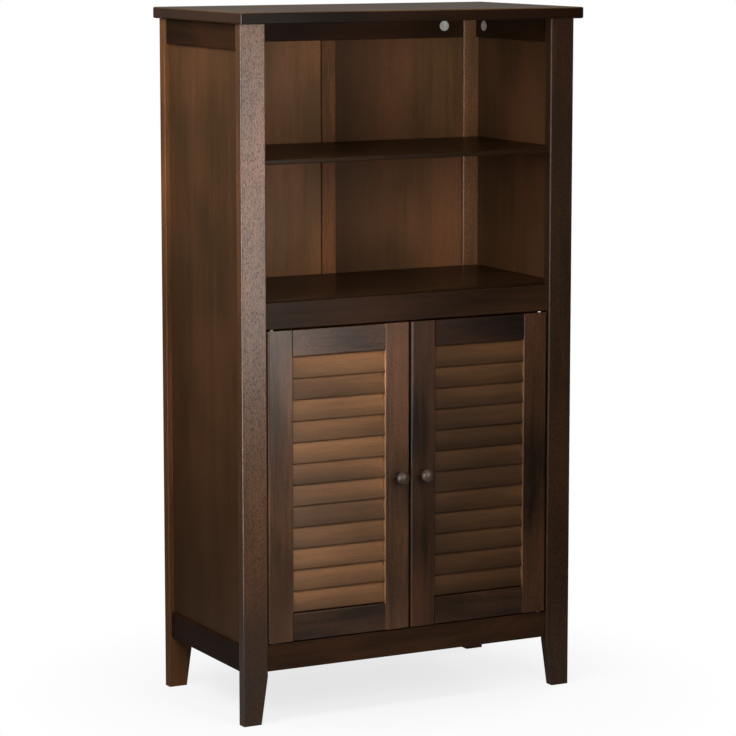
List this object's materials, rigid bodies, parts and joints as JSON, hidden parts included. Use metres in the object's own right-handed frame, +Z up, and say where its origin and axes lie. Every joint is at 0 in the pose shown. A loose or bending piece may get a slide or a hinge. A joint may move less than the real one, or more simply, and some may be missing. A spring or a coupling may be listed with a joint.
{
  "type": "bathroom cabinet",
  "caption": "Tall dark-stained wooden bathroom cabinet with open shelves above a cupboard, louvred doors on pivot pins, round knobs and tapered feet.",
  "frame": {"origin": "on the floor, under the middle of the whole cabinet with its knobs", "axes": "+Z up, front and doors towards -Y, +X to the right seen from the front"},
  "size_m": [0.6, 0.3306, 1.1],
  "materials": {
    "frame_wood": "dark brown stain under satin lacquer",
    "panel_wood": "dark brown stain under satin lacquer",
    "slat_wood": "brown stain under satin lacquer",
    "knob_wood": "dark brown stain under gloss lacquer",
    "pin_steel": "turned, zinc plated",
    "catch_plastic": "moulded, brown"
  },
  "bodies": {
    "cabinet": {"top_board": "frame_wood", "front_left_post": "frame_wood", "back_left_post": "frame_wood", "front_right_post": "frame_wood", "back_right_post": "frame_wood", "left_top_side_rail": "frame_wood", "left_bottom_side_rail": "frame_wood", "right_top_side_rail": "frame_wood", "right_bottom_side_rail": "frame_wood", "back_top_rail": "frame_wood", "back_bottom_rail": "frame_wood", "back_centre_stile": "frame_wood", "front_middle_rail": "frame_wood", "front_bottom_rail": "frame_wood", "left_side_panel": "panel_wood", "right_side_panel": "panel_wood", "back_left_panel": "panel_wood", "back_right_panel": "panel_wood", "middle_shelf": "panel_wood", "fixed_shelf": "panel_wood", "cupboard_floor": "panel_wood", "left_door_bottom_pin": "pin_steel", "left_door_top_pin": "pin_steel", "right_door_bottom_pin": "pin_steel", "right_door_top_pin": "pin_steel", "door_catch": "catch_plastic"},
    "left_door": {"left_door_hinge_stile": "frame_wood", "left_door_meeting_stile": "frame_wood", "left_door_top_rail": "frame_wood", "left_door_bottom_rail": "frame_wood", "left_door_slat_01": "slat_wood", "left_door_slat_02": "slat_wood", "left_door_slat_03": "slat_wood", "left_door_slat_04": "slat_wood", "left_door_slat_05": "slat_wood", "left_door_slat_06": "slat_wood", "left_door_slat_07": "slat_wood", "left_door_slat_08": "slat_wood", "left_door_slat_09": "slat_wood", "left_door_slat_10": "slat_wood", "left_door_slat_11": "slat_wood", "left_door_slat_12": "slat_wood", "left_door_knob": "knob_wood"},
    "right_door": {"right_door_hinge_stile": "frame_wood", "right_door_meeting_stile": "frame_wood", "right_door_top_rail": "frame_wood", "right_door_bottom_rail": "frame_wood", "right_door_slat_01": "slat_wood", "right_door_slat_02": "slat_wood", "right_door_slat_03": "slat_wood", "right_door_slat_04": "slat_wood", "right_door_slat_05": "slat_wood", "right_door_slat_06": "slat_wood", "right_door_slat_07": "slat_wood", "right_door_slat_08": "slat_wood", "right_door_slat_09": "slat_wood", "right_door_slat_10": "slat_wood", "right_door_slat_11": "slat_wood", "right_door_slat_12": "slat_wood", "right_door_knob": "knob_wood"}
  },
  "joints": [
    {"name": "left_door_hinge", "type": "hinge", "parent": "cabinet", "child": "left_door", "pos_m": [-0.239, -0.13225, 0.1262], "axis": [0, 0, -1], "range_deg": [0, 100]},
    {"name": "right_door_hinge", "type": "hinge", "parent": "cabinet", "child": "right_door", "pos_m": [0.239, -0.13225, 0.1262], "axis": [0, 0, 1], "range_deg": [0, 100]}
  ]
}
